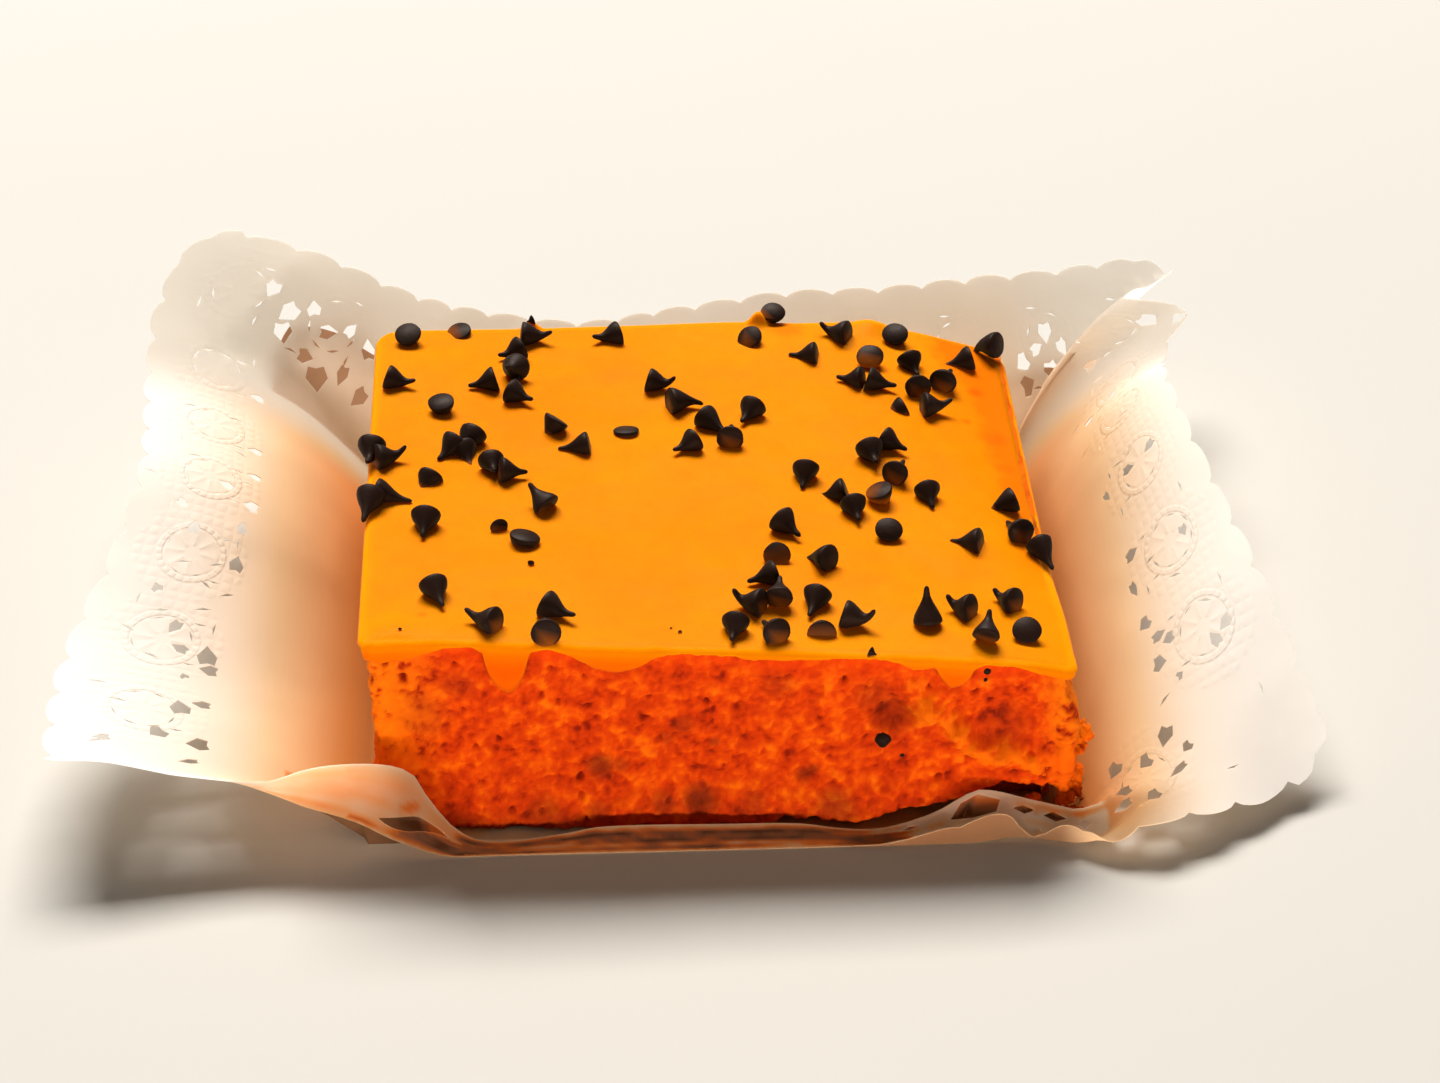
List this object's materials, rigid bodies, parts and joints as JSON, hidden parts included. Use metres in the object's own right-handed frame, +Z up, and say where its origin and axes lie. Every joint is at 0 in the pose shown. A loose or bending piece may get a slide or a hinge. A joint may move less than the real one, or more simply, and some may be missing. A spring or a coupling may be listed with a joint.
{
  "type": "square slice of orange cake",
  "caption": "Square slice of orange sponge cake under poured icing with chocolate drops, standing in a folded paper lace mat.",
  "frame": {"origin": "on the floor under the middle of the cake, at the paper's flat underside", "axes": "+Z up, +X along the cake's longer side, the cut face of the sponge towards -Y"},
  "size_m": [0.2091, 0.1512, 0.0446],
  "materials": {
    "sponge": "rough open crumb",
    "icing": "soft satin, slightly translucent",
    "chocolate": "satin",
    "paper": "matt, thin and translucent"
  },
  "bodies": {
    "root": {"sponge": "sponge", "icing": "icing", "paper_lace": "paper"}
  },
  "joints": []
}
